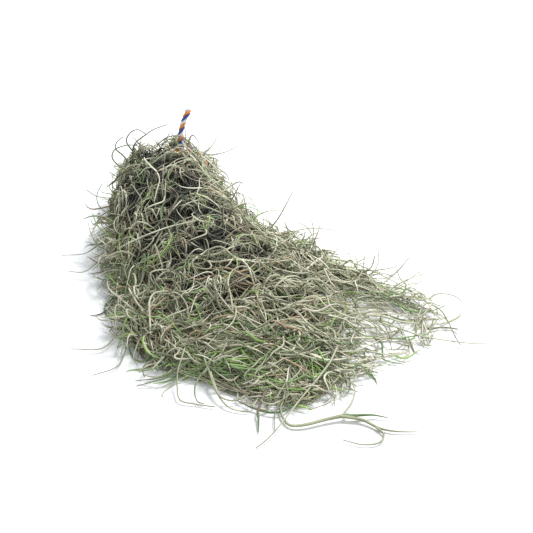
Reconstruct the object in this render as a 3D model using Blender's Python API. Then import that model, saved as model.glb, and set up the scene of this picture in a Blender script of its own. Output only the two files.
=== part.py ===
"""A tied bunch of Spanish moss lying on a table: hanks of leafy stems gathered by one cord.

Units are metres and +Z is up. The tied head is at +Y, the loose ends are at -Y, and the
origin is on the surface under the middle of the bunch.
"""

import math
import random

import bmesh
import bpy
import numpy as np
from mathutils import Matrix, Vector

MM = 0.001

# The bunch from its tied head to its loose ends: place along Y, then the moss's crest line,
# its reach to the left and right of that, top, underside and height of its widest line there.
TIE_Y = 192 * MM
NECK_RADIUS = 25 * MM
NECK_HEIGHT = 40 * MM
STATIONS = [
    # y, crest, left, right, top, underside, widest height
    (228, -2, 42, 30, 60, 20, 38),
    (218, -4, 55, 40, 70, 10, 37),
    (206, -4, 58, 42, 75, 8, 38),
    (196.5, 0, 24, 24, 64, 16, 40),
    (187.5, 0, 24, 24, 64, 16, 40),
    (172, -8, 62, 42, 80, 3, 34),
    (150, -14, 78, 50, 82, 0, 27),
    (100, -24, 91, 82, 72, 0, 18),
    (50, -28, 100, 104, 60, 0, 14),
    (0, -24, 103, 120, 48, 0, 11),
    (-50, -14, 106, 130, 35, 0, 9),
    (-100, 2, 104, 124, 22, 0, 6),
    (-150, 16, 90, 106, 10, 0, 3),
    (-260, 20, 72, 100, 5, 0, 2),
]
RIGHT_SLOPE = 2.0  # the right flank falls away sooner than a round one, which has 1
FLAT_BASE = 2.4  # how soon the underside reaches its lowest, away from the neck

# Each hank is three locks of dense moss side by side, with stems and leaves all over them.
HANK_EDGES = (-1.0, -0.36, 0.312, 1.0)
LOCKS_PER_HANK = 3
LOCK_ENDS = (-84, -112, -100, -134, -118, -130, -106, -116, -88)  # along Y, in mm
LOCK_OVERLAP = 1.12  # in the neck, where a hank's locks are fused
LOCK_NARROWING = 0.26  # outside the neck
LOCK_SHARE = 0.62  # of the moss's height, the rest is open stems
LOCK_TIP = 0.16  # a lock narrows to this share of its size at its end
LOCK_TAPER = 130 * MM  # over this length
LOCK_SIDES = 7
LOCK_ROUGHNESS = 0.26
RING_YS = (228, 218, 206, 196.5, 187.5, 172, 150, 120, 90, 60, 30, 0, -30, -60, -90)
HANK_GAP = 0.5 * MM

STEM_RADIUS = 1.25 * MM
LEAF_RADIUS = 1.05 * MM
TUBE_SIDES = 3
NODE_SPACING = 27 * MM  # between a stem's leaves
STEM_STARTS = (176, 166, 152, 136, 118, 100, 80, 60, 40, 20, 0, -20, -44)
STEM_REACH = (100 * MM, 160 * MM)
STEM_LEVELS = (0.5, 1.0)  # share of the moss's height at which a stem lies
CROWN_LEAVES = 18  # on each hank, round the tie
BODY_LEAVES = 10
SIDE_LEAVES = 15  # more on the outer side of the two outermost hanks
ROOT_SINK = 3.5 * MM
LEAF_LENGTH = (30 * MM, 52 * MM)
LEAF_STEPS = 3
FLOOR_CLEARANCE = 1.3 * MM
FLAT_ENOUGH = math.radians(4)  # faces that meet this flat are made one

CORD_RADIUS = 3.0 * MM
CORD_GAP = 0.35 * MM
KNOT_RADIUS = 5.5 * MM
LOOP_RADIUS = NECK_RADIUS + CORD_RADIUS + 2 * CORD_GAP
CORD_CLEARANCE = 2.4 * MM
KNOT_HEIGHT = NECK_HEIGHT + LOOP_RADIUS + KNOT_RADIUS - CORD_RADIUS
KNOT_TOP = KNOT_HEIGHT + KNOT_RADIUS
CORD_END_ROUTE = [
    # the free end's own points, from the knot up and out of the moss
    (0.0, TIE_Y, KNOT_TOP + CORD_GAP),
    (0.6 * MM, TIE_Y + 0.4 * MM, KNOT_TOP + 8 * MM),
    (3.0 * MM, TIE_Y + 1.2 * MM, KNOT_TOP + 17 * MM),
    (7.0 * MM, TIE_Y + 2.4 * MM, KNOT_TOP + 26 * MM),
    (12.5 * MM, TIE_Y + 4.0 * MM, KNOT_TOP + 35 * MM),
]

# The stems that lie alone beyond the rest: hank, lock, where along Y each leaves its lock,
# and its points after that, all in millimetres.
LONE_STEMS = [
    (0, 0, 96, [(-116, 100, 20), (-130, 108, 9), (-150, 124, 3)]),
    (0, 0, -10, [(-124, -32, 9), (-146, -52, 4), (-172, -42, 3)]),
    (0, 2, -56, [(-38, -120, 8), (-42, -160, 4), (-56, -195, 3), (-72, -214, 3)]),
    (1, 0, -80, [(10, -124, 8), (10, -160, 6), (12, -195, 4), (22, -212, 3), (34, -220, 3)]),
    (1, 1, -70, [(34, -120, 8), (26, -165, 5), (22, -202, 3), (32, -228, 3), (46, -240, 3)]),
    (2, 2, -46, [(116, -106, 9), (134, -146, 5), (150, -154, 4), (163, -167, 3)]),
    (2, 2, -8, [(128, -58, 11), (148, -84, 7), (178, -90, 3)]),
]

MOSS_GREY = (0.36, 0.38, 0.26, 1)
MOSS_OLIVE = (0.25, 0.30, 0.16, 1)
CORD_ORANGE = (0.85, 0.28, 0.05, 1)


def clear_scene():
    for obj in list(bpy.data.objects):
        bpy.data.objects.remove(obj)


def new_collection(name):
    collection = bpy.data.collections.new(name)
    bpy.context.scene.collection.children.link(collection)
    return collection


def material(name, colour, roughness):
    made = bpy.data.materials.new(name)
    made.use_nodes = True
    shader = made.node_tree.nodes["Principled BSDF"]
    shader.inputs["Base Color"].default_value = colour
    shader.inputs["Roughness"].default_value = roughness
    shader.inputs["Metallic"].default_value = 0.0
    return made


def moss_at(y):
    """Crest, left and right reach, top, underside and widest height of the moss at y."""
    table = np.array(STATIONS[::-1]) * MM
    return [float(np.interp(y, table[:, 0], table[:, k])) for k in range(1, 7)]


def x_at(t, y):
    """The place across the moss at a share t of its reach from the crest, -1 to 1."""
    crest, left, right = moss_at(y)[:3]
    return crest + t * (right if t > 0 else left)


def share_at(x, y):
    """The inverse of x_at."""
    crest, left, right = moss_at(y)[:3]
    return (x - crest) / (right if x > crest else left)


def heights(x, y):
    """Top and underside of the moss over the point x, y."""
    top, under, widest = moss_at(y)[3:]
    t = share_at(x, y)
    round_off = math.sqrt(max(0.0, 1 - t * t))
    slope = 1 + (RIGHT_SLOPE - 1) * away_from_tie(y) if t > 0 else 1
    flat = 1 + (FLAT_BASE - 1) * min(1.0, max(0.0, abs(y - TIE_Y) - 8 * MM) / (22 * MM))
    return (
        widest + (top - widest) * round_off ** slope,
        widest - (widest - under) * min(1.0, round_off * flat),
    )


def edge_x(edge, y):
    """Where the edge between two hanks runs at y."""
    return x_at(HANK_EDGES[edge], y)


def away_from_tie(y):
    """Goes from 0 in the neck to 1 outside it."""
    return min(1.0, max(0.0, abs(y - TIE_Y) - 6 * MM) / (24 * MM))


def lock_at(hank, lock, y):
    """Middle, half width, top and underside of one lock's dense moss at y."""
    low, high = HANK_EDGES[hank], HANK_EDGES[hank + 1]
    step = (high - low) / LOCKS_PER_HANK
    left, right = x_at(low + step * lock, y), x_at(low + step * (lock + 1), y)
    end = LOCK_ENDS[hank * LOCKS_PER_HANK + lock] * MM
    taper = min(1.0, LOCK_TIP + (1 - LOCK_TIP) * (y - end) / LOCK_TAPER)
    taper = min(taper, 0.25 + 0.75 * (236 * MM - y) / (26 * MM))
    width = LOCK_OVERLAP - LOCK_NARROWING * away_from_tie(y)
    middle = x_at(low + step * (lock + 0.5), y)
    top, under = heights(middle, y)
    share = taper ** 0.6 * (1 - (1 - LOCK_SHARE) * away_from_tie(y))
    if y > TIE_Y:
        under += (top - under) * (1 - taper) / 2
    return middle, (right - left) / 2 * width * taper, under + (top - under) * share, under


def lock_ring(draw, hank, lock, y):
    """One rough ring of a lock, flat where it lies on the surface and kept in its hank."""
    middle, reach, top, under = lock_at(hank, lock, y)
    low = edge_x(hank, y) + HANK_GAP / 2
    high = edge_x(hank + 1, y) - HANK_GAP / 2
    centre, rise = (top + under) / 2, (top - under) / 2
    rough = LOCK_ROUGHNESS * away_from_tie(y)
    ring = []
    for k in range(LOCK_SIDES):
        angle = 2 * math.pi * (k + 0.5) / LOCK_SIDES - math.pi / 2
        size = 1 + rough * draw.uniform(-1, 1)
        x = middle + reach * size * math.cos(angle)
        z = centre + rise * size * math.sin(angle)
        if k in (0, LOCK_SIDES - 1):
            z = under
        ring.append(Vector((min(max(x, low), high), y, max(z, under))))
    return ring


def lock_object(hank, lock, name):
    """The dense inner moss of a lock, from the head to the loose ends."""
    draw = random.Random(70 + hank * LOCKS_PER_HANK + lock)
    end = LOCK_ENDS[hank * LOCKS_PER_HANK + lock]
    ys = [y for y in RING_YS if y > end + 12] + [end]
    bm = bmesh.new()
    rings = [[bm.verts.new(p) for p in lock_ring(draw, hank, lock, y * MM)] for y in ys]
    for ring, following in zip(rings, rings[1:]):
        for k in range(LOCK_SIDES):
            after = (k + 1) % LOCK_SIDES
            bm.faces.new((ring[k], ring[after], following[after], following[k]))
    bm.faces.new(rings[0][::-1])
    bm.faces.new(rings[-1])
    bmesh.ops.triangulate(bm, faces=bm.faces)
    bmesh.ops.recalc_face_normals(bm, faces=bm.faces)
    return object_from(bm, name)


def object_from(bm, name):
    mesh = bpy.data.meshes.new(name)
    bm.to_mesh(mesh)
    bm.free()
    return bpy.data.objects.new(name, mesh)


def kept_in_hank(point, hank):
    """Bends a point clear of the neighbouring hanks and the surface below."""
    x, y, z = point
    margin = STEM_RADIUS + 5 * HANK_GAP
    low, high = edge_x(hank, y) + margin, edge_x(hank + 1, y) - margin
    middle, half = (low + high) / 2, (high - low) / 2
    off = (x - middle) / half
    outer = (hank == 0 and off < 0) or (hank == len(HANK_EDGES) - 2 and off > 0)
    if not outer and abs(off) > 0.8:
        off = math.copysign(0.8 + 0.2 * math.tanh((abs(off) - 0.8) / 0.2), off)
        x = middle + off * half
    lift = 2.0 * MM
    z = FLOOR_CLEARANCE + lift * math.log1p(math.exp((z - FLOOR_CLEARANCE) / lift))
    return Vector((x, y, z))


def meets_cord(path):
    """True where a strand would meet the tie, its knot or its free end."""
    between = [a.lerp(b, k / 4) for a, b in zip(path, path[1:]) for k in range(5)]
    return any(near_cord(point) for point in between)


def near_cord(point):
    ring = math.hypot(point.x, point.z - NECK_HEIGHT)
    tube = math.hypot(ring - LOOP_RADIUS, point.y - TIE_Y)
    if tube < CORD_RADIUS + CORD_CLEARANCE:
        return True
    if (point - Vector((0, TIE_Y, KNOT_HEIGHT))).length < KNOT_RADIUS + CORD_CLEARANCE:
        return True
    for a, b in zip(CORD_END_ROUTE, CORD_END_ROUTE[1:]):
        start, run = Vector(a), Vector(b) - Vector(a)
        share = max(0.0, min(1.0, (point - start).dot(run) / run.length_squared))
        if (point - start - run * share).length < CORD_RADIUS + CORD_CLEARANCE:
            return True
    return False


def random_direction(draw):
    while True:
        v = Vector([draw.uniform(-1, 1) for _ in range(3)])
        if 0.2 < v.length < 1:
            return v.normalized()


def leaf_path(root, heading, axis, length, bend, steps):
    """A thread-like leaf that leaves root along heading and curls round axis."""
    points = [root.copy()]
    fine = 3 * steps
    for k in range(fine):
        turned = Matrix.Rotation(bend * ((k + 0.5) / fine) ** 1.2, 3, axis) @ heading
        points.append(points[-1] + turned * (length / fine))
    return points[::3]


def lock_centre(hank, lock, y):
    middle, _, top, under = lock_at(hank, lock, y)
    return Vector((middle, y, (top + under) / 2))


def stem_path(draw, hank, start, across):
    """A stem rooted in one of its hank's locks that follows the bunch to the loose ends."""
    low, high = HANK_EDGES[hank], HANK_EDGES[hank + 1]
    t = low + (high - low) * across
    reach = draw.uniform(*STEM_REACH)
    wave, phase = draw.uniform(0.05, 0.13), draw.uniform(0, 6.28)
    level = draw.uniform(*STEM_LEVELS)
    beat = draw.uniform(0, 6.28)
    zigzag = 2.4 * MM
    count = max(4, round(reach / NODE_SPACING)) * 2
    points = [lock_centre(hank, int(across * LOCKS_PER_HANK), start)]
    for k in range(1, count + 1):
        y = start - reach * k / count
        x = x_at(t + wave * math.sin(y / (22 * MM) + phase), y)
        top, under = heights(x, y)
        share = level + 0.16 * math.sin(y / (11 * MM) + beat)
        x += zigzag * (1 if k // 2 % 2 else -1)
        points.append(Vector((x, y, under + (top - under) * share)))
    return points


def tube(bm, path, start_radius, end_radius, sides=TUBE_SIDES):
    """A closed tapering tube along a path, ending in a point."""
    rings = []
    side = Vector((0, 0, 1))
    for k, point in enumerate(path[:-1]):
        along = (path[k + 1] - path[max(0, k - 1)]).normalized()
        side = side - along * side.dot(along)
        if side.length < 1e-3:
            side = along.orthogonal()
        side.normalize()
        share = k / (len(path) - 1)
        radius = start_radius + (end_radius - start_radius) * share
        turn = Matrix.Rotation(2 * math.pi / sides, 3, along)
        ring, spoke = [], side * radius
        for _ in range(sides):
            ring.append(bm.verts.new(point + spoke))
            spoke = turn @ spoke
        rings.append(ring)
    tip = bm.verts.new(path[-1])
    bm.faces.new(rings[0][::-1])
    for ring, following in zip(rings, rings[1:]):
        for k in range(sides):
            after = (k + 1) % sides
            bm.faces.new((ring[k], ring[after], following[after], following[k]))
    for k in range(sides):
        bm.faces.new((rings[-1][k], rings[-1][(k + 1) % sides], tip))


def strand_object(path, start_radius, end_radius, collection):
    bm = bmesh.new()
    tube(bm, path, start_radius, end_radius)
    bmesh.ops.triangulate(bm, faces=bm.faces)
    bmesh.ops.recalc_face_normals(bm, faces=bm.faces)
    collection.objects.link(object_from(bm, "strand"))


def grow_leaf(draw, hank, root, outward, collection):
    """One leaf, drawn again until it is clear of the cord."""
    for _ in range(12):
        heading = (outward + 0.75 * random_direction(draw)).normalized()
        axis = heading.cross(random_direction(draw)).normalized()
        length = draw.uniform(*LEAF_LENGTH)
        bend = draw.uniform(0.6, 2.6)
        path = leaf_path(root, heading, axis, length, bend, LEAF_STEPS)
        path = [kept_in_hank(p, hank) for p in path]
        if not meets_cord(path):
            strand_object(path, LEAF_RADIUS, 0.5 * LEAF_RADIUS, collection)
            return


def grow_stem(draw, hank, path, collection):
    """A stem and the leaves at its nodes."""
    path = [kept_in_hank(p, hank) for p in path]
    if meets_cord(path):
        return
    strand_object(path, STEM_RADIUS, 0.6 * STEM_RADIUS, collection)
    for k in range(2, len(path) - 2, 2):
        along = (path[k + 1] - path[k]).normalized()
        away = Vector((draw.uniform(-1, 1), 0, draw.uniform(0.1, 1.0)))
        grow_leaf(draw, hank, path[k].copy(), along + 0.9 * away, collection)


def surface_root(draw, hank, y):
    """A place on the hank's dense moss, and the way out from it."""
    middle, reach, top, under = lock_at(hank, draw.randrange(LOCKS_PER_HANK), y)
    x = middle + draw.uniform(-0.5, 0.5) * reach
    t = max(-1.0, min(1.0, share_at(x, y)))
    outward = Vector((0.9 * t * abs(t), 0, 1 - 0.5 * abs(t))).normalized()
    return Vector((x, y, under + (top - under) * 0.8)), outward


def side_root(draw, hank, y):
    """A place low on the outer side of an outermost hank."""
    sign, lock = (-1, 0) if hank == 0 else (1, LOCKS_PER_HANK - 1)
    middle, reach, top, under = lock_at(hank, lock, y)
    outward = Vector((sign, 0, draw.uniform(-0.1, 0.5))).normalized()
    return Vector((middle + sign * 0.6 * reach, y, (top + under) / 2)), outward


def largest_body_only(obj):
    """Drops loose scraps and sealed hollows that the union leaves, and needless edges."""
    bm = bmesh.new()
    bm.from_mesh(obj.data)
    waiting, islands = set(bm.verts), []
    while waiting:
        island, front = set(), [waiting.pop()]
        while front:
            vert = front.pop()
            island.add(vert)
            for edge in vert.link_edges:
                other = edge.other_vert(vert)
                if other in waiting:
                    waiting.discard(other)
                    front.append(other)
        islands.append(island)
    keep = max(islands, key=len)
    scraps = [v for island in islands if island is not keep for v in island]
    bmesh.ops.delete(bm, geom=scraps, context="VERTS")
    bmesh.ops.dissolve_limit(bm, angle_limit=FLAT_ENOUGH, verts=bm.verts, edges=bm.edges)
    bmesh.ops.triangulate(bm, faces=bm.faces)
    bm.to_mesh(obj.data)
    bm.free()


def join_strands(obj, strands):
    """Fuses a hank's strands to its dense moss, then removes the loose ones."""
    union = obj.modifiers.new("Join strands", "BOOLEAN")
    union.operation = "UNION"
    union.operand_type = "COLLECTION"
    union.collection = strands
    union.solver = "MANIFOLD"
    bpy.context.view_layer.update()
    graph = bpy.context.evaluated_depsgraph_get()
    joined = bpy.data.meshes.new_from_object(obj.evaluated_get(graph))
    obj.modifiers.clear()
    obj.data = joined
    for strand in list(strands.objects):
        bpy.data.objects.remove(strand)
    bpy.data.collections.remove(strands)
    largest_body_only(obj)


def make_hank(hank, collection, skin):
    draw = random.Random(410 + hank)
    obj = lock_object(hank, 0, f"moss_hank_{hank + 1}")
    collection.objects.link(obj)
    strands = new_collection("strands")
    for lock in range(1, LOCKS_PER_HANK):
        strands.objects.link(lock_object(hank, lock, "lock"))
    across = [0.08 + 0.84 * (k + 0.5) / len(STEM_STARTS) for k in range(len(STEM_STARTS))]
    draw.shuffle(across)
    for start, share in zip(STEM_STARTS, across):
        grow_stem(draw, hank, stem_path(draw, hank, start * MM, share), strands)
    for owner, lock, start, points in LONE_STEMS:
        if owner == hank:
            route = [lock_centre(hank, lock, start * MM), *(Vector(p) * MM for p in points)]
            grow_stem(draw, hank, smooth_line(route, 2), strands)
    for k in range(CROWN_LEAVES):
        y = (draw.uniform(203, 224) if k % 2 else draw.uniform(152, 181)) * MM
        root, outward = surface_root(draw, hank, y)
        toward_tie = Vector((0, 0.5 if y < TIE_Y else draw.uniform(-0.4, 0.9), 0))
        grow_leaf(draw, hank, root, outward + toward_tie, strands)
    for k in range(BODY_LEAVES):
        y = (-80 + 230 * (k + draw.random()) / BODY_LEAVES) * MM
        root, outward = surface_root(draw, hank, y)
        grow_leaf(draw, hank, root, outward + Vector((0, -0.8, 0)), strands)
    if hank in (0, len(HANK_EDGES) - 2):
        for k in range(SIDE_LEAVES):
            y = (-50 + 228 * (k + draw.random()) / SIDE_LEAVES) * MM
            root, outward = side_root(draw, hank, y)
            grow_leaf(draw, hank, root, outward, strands)
    join_strands(obj, strands)
    obj.data.materials.clear()
    obj.data.materials.append(skin)


def make_tie(collection, skin):
    """The turn of cord round the gathered stems, with its knot, and the cord's free end."""
    bpy.ops.mesh.primitive_torus_add(
        major_segments=36,
        minor_segments=8,
        major_radius=LOOP_RADIUS,
        minor_radius=CORD_RADIUS,
        location=(0, TIE_Y, NECK_HEIGHT),
        rotation=(math.pi / 2, 0, 0),
    )
    loop = bpy.context.object
    loop.name = loop.data.name = "tie_loop"
    bpy.ops.mesh.primitive_uv_sphere_add(
        segments=16,
        ring_count=8,
        radius=KNOT_RADIUS,
        location=(0, TIE_Y, KNOT_HEIGHT),
    )
    knot = bpy.context.object
    for made in (loop, knot):
        for owner in made.users_collection:
            owner.objects.unlink(made)
    collection.objects.link(loop)
    knots = new_collection("knots")
    knots.objects.link(knot)
    join_strands(loop, knots)
    loop.data.materials.clear()
    loop.data.materials.append(skin)

    route = bpy.data.curves.new("tie_end", "CURVE")
    route.dimensions = "3D"
    route.bevel_depth = CORD_RADIUS
    route.bevel_resolution = 2
    route.use_fill_caps = True
    spline = route.splines.new("POLY")
    smooth = smooth_line(CORD_END_ROUTE, 3)
    spline.points.add(len(smooth) - 1)
    for point, place in zip(spline.points, smooth):
        point.co = (*place, 1)
    route.materials.append(skin)
    collection.objects.link(bpy.data.objects.new("tie_end", route))


def smooth_line(points, between):
    """Points along a smooth curve through the given ones."""
    given = [Vector(p) for p in points]
    padded = [2 * given[0] - given[1], *given, 2 * given[-1] - given[-2]]
    made = []
    for a, b, c, d in zip(padded, padded[1:], padded[2:], padded[3:]):
        for k in range(between):
            u = k / between
            square, cube = u * u, u * u * u
            turn = 2 * a - 5 * b + 4 * c - d
            made.append(0.5 * (2 * b + (c - a) * u + turn * square + (3 * (b - c) - a + d) * cube))
    return [*made, given[-1]]


def main():
    clear_scene()
    bunch = new_collection("spanish_moss_bunch")
    grey = material("moss_grey", MOSS_GREY, 0.85)
    olive = material("moss_olive", MOSS_OLIVE, 0.85)
    for hank in range(len(HANK_EDGES) - 1):
        make_hank(hank, bunch, olive if hank == 1 else grey)
    make_tie(bunch, material("cord_orange", CORD_ORANGE, 0.6))


main()
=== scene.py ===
# A tied bunch of Spanish moss lying on a pale table: three hanks of leafy stems, a turn of
# twisted rope round them and the rope's short free end.
# Metres, +Z up, the tied head at +Y and the loose ends at -Y.
import math

import bmesh
import bpy
import numpy as np
from mathutils import Matrix, Vector, noise


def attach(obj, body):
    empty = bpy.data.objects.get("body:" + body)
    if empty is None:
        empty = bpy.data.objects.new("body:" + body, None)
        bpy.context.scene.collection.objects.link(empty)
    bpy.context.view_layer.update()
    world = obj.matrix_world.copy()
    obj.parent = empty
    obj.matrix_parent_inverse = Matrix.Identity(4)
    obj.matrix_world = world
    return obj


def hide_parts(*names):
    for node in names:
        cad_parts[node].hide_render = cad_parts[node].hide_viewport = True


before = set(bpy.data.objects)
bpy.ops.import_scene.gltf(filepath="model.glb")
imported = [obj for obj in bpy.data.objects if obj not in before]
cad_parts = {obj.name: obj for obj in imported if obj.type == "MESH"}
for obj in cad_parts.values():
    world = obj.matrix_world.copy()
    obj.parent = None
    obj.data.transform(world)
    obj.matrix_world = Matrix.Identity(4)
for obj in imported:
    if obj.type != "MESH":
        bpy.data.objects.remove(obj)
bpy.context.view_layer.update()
mm = 0.001


def srgb(hexText, alpha=1.0):
    parts = [int(hexText[k:k + 2], 16) / 255 for k in (1, 3, 5)]
    linear = [c / 12.92 if c <= 0.04045 else ((c + 0.055) / 1.055) ** 2.4 for c in parts]
    return (*linear, alpha)


def addNode(tree, kind, values=None, links=None, **settings):
    node = tree.nodes.new(kind)
    for name, value in settings.items():
        setattr(node, name, value)
    for name, value in (values or {}).items():
        node.inputs[name].default_value = value
    for name, source in (links or {}).items():
        tree.links.new(source, node.inputs[name])
    return node


def newMaterial(name):
    made = bpy.data.materials.new(name)
    made.use_nodes = True
    tree = made.node_tree
    return made, tree, tree.nodes["Principled BSDF"]


def setRamp(node, stops):
    ramp = node.color_ramp
    while len(ramp.elements) < len(stops):
        ramp.elements.new(0.5)
    for element, (place, colour) in zip(ramp.elements, stops):
        element.position = place
        element.color = srgb(colour)


def showObject(obj):
    bpy.context.scene.collection.objects.link(obj)
    return obj


def addPiece(mesh, skin, node=None):
    # shows a mesh as a piece of the bunch's one body, in the place of a node where one is named
    mesh.materials.clear()
    mesh.materials.append(skin)
    piece = showObject(bpy.data.objects.new(mesh.name, mesh))
    if node:
        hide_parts(node)
    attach(piece, "root")
    return piece


# the camera, at the photograph's height, turn and tilt
cameraView = {"place": (-0.2373, -0.6461, 0.421), "tilt": 60, "turn": -22, "lens": 57.07}
cameraData = bpy.data.cameras.new("photoCamera")
cameraData.lens = cameraView["lens"]
cameraData.sensor_width = 36
camera = showObject(bpy.data.objects.new("photoCamera", cameraData))
camera.location = cameraView["place"]
camera.rotation_euler = (math.radians(cameraView["tilt"]), 0, math.radians(cameraView["turn"]))
bpy.context.scene.camera = camera
print("camera placed")


# the bunch's form, from its tied head to its loose ends
bunchForm = {
    # y, crest, reach to the left and right of it, top, underside, widest height, all in mm
    "stations": [
        (228, -2, 42, 30, 58, 20, 38),
        (218, -4, 57, 38, 69, 10, 37),
        (206, -4, 61, 40, 74, 8, 38),
        (196.5, 0, 24, 24, 64, 16, 40),
        (187.5, 0, 24, 24, 64, 16, 40),
        (172, -8, 66, 38, 81, 3, 34),
        (150, -14, 72, 43, 82, 0, 27),
        (100, -24, 73, 66, 71, 0, 18),
        (50, -28, 79, 87, 57, 0, 14),
        (0, -24, 89, 110, 45, 0, 11),
        (-50, -14, 99, 134, 33, 0, 9),
        (-100, 2, 104, 134, 21, 0, 6),
        (-150, 16, 96, 112, 10, 0, 3),
        (-260, 20, 76, 100, 5, 0, 2),
    ],
    "rightSlope": 3.0,  # the right flank falls away sooner than a round one, which has 1
    "headSlope": 0.6,  # the head's left side is fuller
    # where the loose ends lie: share across, and y in mm
    "looseEnds": ((-1.0, -84), (-0.8, -132), (-0.6, -154), (-0.3, -160), (0, -152), (0.3, -142),
                  (0.6, -138), (0.85, -126), (1.0, -100)),
    "valleys": 0.7,  # how far strands dip between the clumps, as a share of the moss's height
    "hankEdges": (-1.0, -0.36, 0.312, 1.0),
    "tieY": 192 * mm,
    "neckHeight": 40 * mm,
}
stationTable = np.array(bunchForm["stations"][::-1]) * mm
tieY = bunchForm["tieY"]


def mossAt(y):
    return [np.interp(y, stationTable[:, 0], stationTable[:, k]) for k in range(1, 7)]


def acrossMoss(t, y):
    # the place at a share t of the moss's reach from its crest, -1 to 1
    crest, left, right = mossAt(y)[:3]
    return crest + t * np.where(t > 0, right, left)


def shareAcross(x, y):
    crest, left, right = mossAt(y)[:3]
    return (x - crest) / np.where(x > crest, right, left)


def mossHeights(x, y):
    # top and underside of the moss over x, y
    top, under, widest = mossAt(y)[3:]
    t = np.clip(shareAcross(x, y), -1, 1)
    roundOff = np.sqrt(1 - t * t)
    away = np.clip((np.abs(y - tieY) - 6 * mm) / (24 * mm), 0, 1)
    head = np.clip((y - 90 * mm) / (50 * mm), 0, 1)
    slope = np.where(t > 0, 1 + (bunchForm["rightSlope"] - 1) * away,
                     1 + (bunchForm["headSlope"] - 1) * head)
    return (widest + (top - widest) * roundOff ** slope,
            widest - (widest - under) * np.minimum(1, 2 * roundOff))


def looseEnd(t):
    places, ends = np.array(bunchForm["looseEnds"]).T
    return np.interp(t, places, ends * mm)


clumpDraw = np.random.default_rng(77)
clumpTurns = clumpDraw.uniform(0, 2 * math.pi, (9, 2))
clumpWaves = 2 * math.pi / (clumpDraw.uniform(24, 56, 9) * mm)


def valleyBetween(x, y):
    # 0 on the clumps of curls, 1 in the dark gaps between them
    waves = [np.sin(wave * (x * math.cos(a) + y * math.sin(a)) + b)
             for wave, (a, b) in zip(clumpWaves, clumpTurns)]
    return np.clip(0.45 + sum(waves) / 4.2, 0, 1)


# where strands are painted dark, as shade inside the bunch: only in moss thicker than from one
# height to the other
shadeForm = {"depth": 12 * mm, "thinMoss": 20 * mm, "thickMoss": 42 * mm, "tailEnd": 236 * mm}


def depthInMoss(points):
    # 0 at the bunch's surface, 1 from some way inside it: how much painted shade a strand gets
    x, y, z = points[..., 0], points[..., 1], points[..., 2]
    t = np.clip(np.abs(shareAcross(x, y)), 0, 1)
    reach = np.where(x > mossAt(y)[0], mossAt(y)[2], mossAt(y)[1])
    down = np.minimum(mossHeights(x, y)[0] - z, (1 - t) * reach)
    down = np.minimum(down, shadeForm["tailEnd"] - y)
    height = mossHeights(x, y)[0] - mossHeights(x, y)[1]
    span = shadeForm["thickMoss"] - shadeForm["thinMoss"]
    thick = np.clip((height - shadeForm["thinMoss"]) / span, 0, 1)
    return thick * np.clip(down / shadeForm["depth"], 0, 1)


def normalised(v):
    return v / np.maximum(np.linalg.norm(v, axis=-1, keepdims=True), 1e-9)


def squareTo(line, v):
    return normalised(v - line * (v * line).sum(-1, keepdims=True))


def randomDirections(draw, count):
    return normalised(draw.normal(size=(count, 3)))


def surfaceNormals(t, y):
    # the way out of the moss at a share t of its half width
    tail = np.clip((y - 205 * mm) / (25 * mm), 0, 1)
    return normalised(np.stack([0.9 * t * np.abs(t), 0.8 * tail, 1 - 0.55 * np.abs(t)], axis=-1))


def flowDirections(x, y):
    # along the bunch, away from the tie
    step = np.where(y < tieY, -1.0, 1.0) * mm
    nextX = acrossMoss(np.clip(shareAcross(x, y), -1, 1), y + step)
    return normalised(np.stack([np.clip(nextX - x, -2 * mm, 2 * mm), step, 0 * x], axis=-1))


# how far past the bunch's form a strand may reach before it is bent back
roomForm = {
    "tailStart": 226 * mm, "tail": 18 * mm,
    "shorter": 26 * mm,  # by how much some loose ends stay behind the others
    "end": 36 * mm, "right": 20 * mm, "left": 9 * mm, "top": 4 * mm,
    "table": 0.9 * mm, "aboveTable": 1.6 * mm,
}


def settled(points, stray, draw):
    # bends strands back into the bunch's form, down between its clumps and up off the table
    x, y, z = points[..., 0], points[..., 1], points[..., 2]
    count = len(points)
    dip = bunchForm["valleys"] * draw.random((count, 1)) ** 0.6
    short = draw.random((count, 1)) ** 1.6
    tail, room = roomForm["tailStart"], roomForm["tail"]
    y = np.where(y > tail, tail + room * np.tanh((y - tail) / room), y)
    end = looseEnd(np.clip(shareAcross(x, y), -1, 1)) + roomForm["shorter"] * short
    room = roomForm["end"] + 0.6 * stray
    y = np.where(y < end, end + room * np.tanh((y - end) / room), y)
    crest, left, right = mossAt(y)[:3]
    reach = np.where(x > crest, right * (1 - 0.24 * short), left * (1 - 0.12 * short))
    over = np.maximum(0, np.abs(x - crest) - reach)
    room = np.where(x > crest, roomForm["right"], roomForm["left"]) + stray
    x = np.where(over > 0, crest + np.sign(x - crest) * (reach + room * np.tanh(over / room)), x)
    top, under = mossHeights(x, y)
    z = z - dip * valleyBetween(x, y) * np.clip(z - under, 0, 60 * mm)
    top = top + 0.3 * stray
    above = np.maximum(0, z - top)
    room = roomForm["top"] + 0.6 * stray
    z = np.where(above > 0, top + room * np.tanh(above / room), z)
    table, lift = roomForm["table"], roomForm["aboveTable"]
    z = table + lift * np.log1p(np.exp((z - table) / lift))
    bent = np.stack([x, y, z], axis=-1)
    for _ in range(2):  # rounds off the kinks that the bending leaves
        bent[:, 1:-1] = 0.5 * bent[:, 1:-1] + 0.25 * (bent[:, :-2] + bent[:, 2:])
    return bent


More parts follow.
